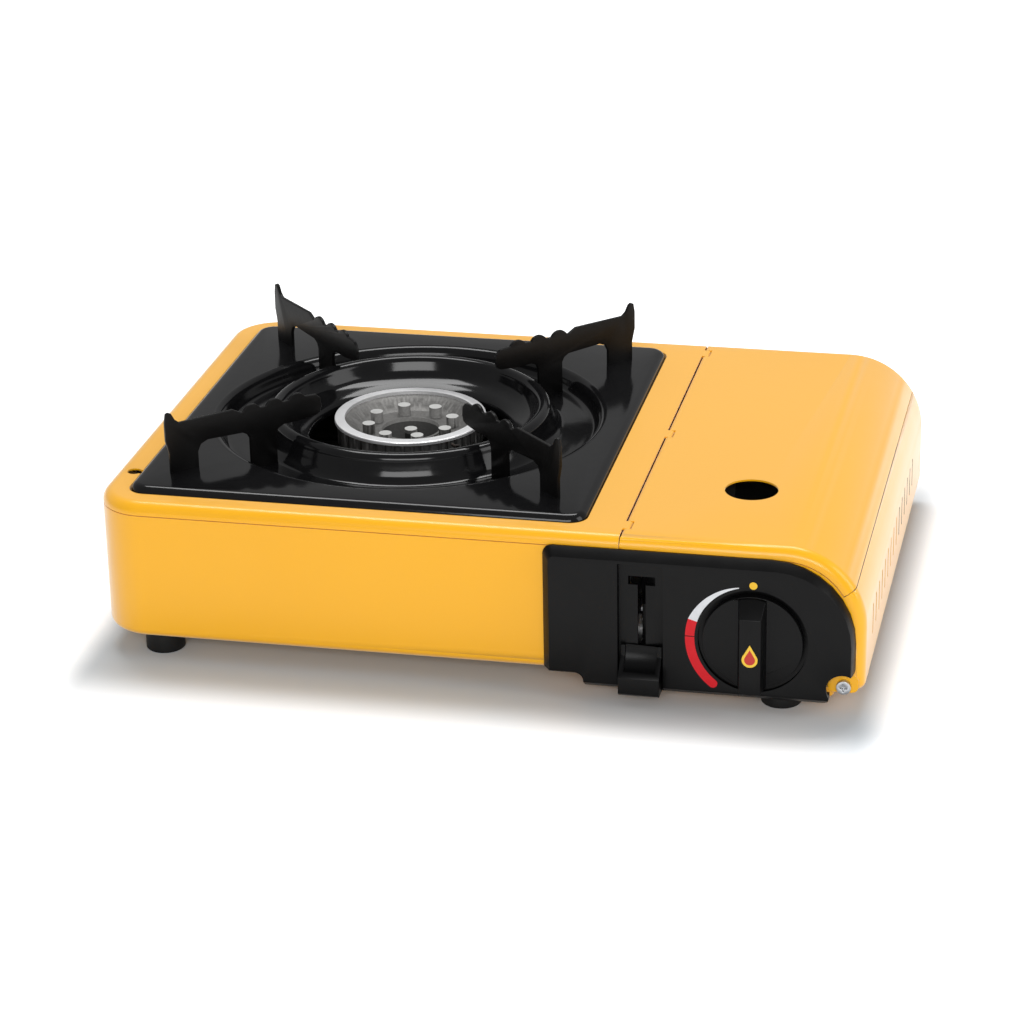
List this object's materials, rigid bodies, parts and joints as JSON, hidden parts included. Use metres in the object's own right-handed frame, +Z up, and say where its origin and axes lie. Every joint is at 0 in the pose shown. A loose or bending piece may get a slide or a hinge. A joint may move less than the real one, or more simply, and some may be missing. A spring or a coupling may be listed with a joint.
{
  "type": "butane cassette stove",
  "caption": "Portable single-burner gas stove with a drop-in enamelled pan, raised pot supports, a hinged cartridge lid, a locking lever and a rotary igniter knob.",
  "frame": {"origin": "centre of the overall bounding box in plan, at the table under the feet", "axes": "+X towards the cartridge side, +Y from the control panel to the back, +Z up"},
  "size_m": [0.34, 0.255, 0.106],
  "materials": {
    "yellow_enamel": "satin powder coat on pressed steel",
    "black_enamel": "glossy vitreous enamel",
    "black_plastic": "satin",
    "zinc_steel": "zinc plated",
    "cast_alloy": "as cast",
    "bright_alloy": "bright turned",
    "brass": "turned",
    "rubber": "matte",
    "ceramic": "glazed ceramic",
    "marker_red": "moulded insert"
  },
  "bodies": {
    "stove": {"lower_body": "yellow_enamel", "top_plate": "yellow_enamel", "control_panel": "black_plastic", "partition": "zinc_steel", "hinge_pin": "zinc_steel", "burner_head": "cast_alloy", "burner_ring": "bright_alloy", "burner_base": "cast_alloy", "burner_bracket": "zinc_steel", "mixing_tube": "bright_alloy", "regulator_body": "cast_alloy", "regulator_cap": "zinc_steel", "regulator_screws": "zinc_steel", "inlet_seal": "rubber", "jet_nozzle": "brass", "igniter_body": "black_plastic", "electrode_insulator": "ceramic", "electrode_arm": "zinc_steel", "electrode_tip": "zinc_steel", "igniter_wire": "rubber", "cartridge_collar": "zinc_steel", "cartridge_rests": "zinc_steel", "link_guides": "zinc_steel", "lever_guide": "zinc_steel", "foot_front_left": "rubber", "foot_front_right": "rubber", "foot_back_left": "rubber", "foot_back_right": "rubber", "foot_screws": "zinc_steel", "corner_screw": "zinc_steel", "bracket_screws": "zinc_steel"},
    "lid": {"lid": "yellow_enamel"},
    "pan": {"drip_pan": "black_enamel", "pot_support_front_left": "black_enamel", "pot_support_front_right": "black_enamel", "pot_support_back_left": "black_enamel", "pot_support_back_right": "black_enamel"},
    "knob": {"knob": "black_plastic", "knob_pointer": "marker_red", "valve_spindle": "brass", "igniter_cam": "black_plastic"},
    "plunger": {"igniter_plunger": "zinc_steel"},
    "lever": {"lever_paddle": "black_plastic", "lever_plate": "zinc_steel"},
    "pusher": {"link_bar": "zinc_steel", "cartridge_pusher": "zinc_steel"}
  },
  "joints": [
    {"name": "lid_hinge", "type": "hinge", "parent": "stove", "child": "lid", "pos_m": [0.0664, 0.006, 0.0735], "axis": [0, -1, 0], "range_deg": [0, 95]},
    {"name": "pan_lift", "type": "slide", "parent": "stove", "child": "pan", "axis": [0, 0, 1], "range_m": [0, 0.05]},
    {"name": "knob_turn", "type": "hinge", "parent": "stove", "child": "knob", "pos_m": [0.123, -0.1125, 0.034], "axis": [0, -1, 0], "range_deg": [0, 135]},
    {"name": "plunger_slide", "type": "slide", "parent": "stove", "child": "plunger", "axis": [0, 1, 0], "range_m": [0, 0.006]},
    {"name": "lever_slide", "type": "slide", "parent": "stove", "child": "lever", "axis": [0, 0, 1], "range_m": [0, 0.027]},
    {"name": "pusher_slide", "type": "slide", "parent": "stove", "child": "pusher", "axis": [0, 1, 0], "range_m": [0, 0.006]}
  ],
  "couplings": [
    {"joint": "plunger_slide", "follows": "knob_turn", "m_per_rad": 0.002546},
    {"joint": "pusher_slide", "follows": "lever_slide", "ratio": 0.2222}
  ]
}
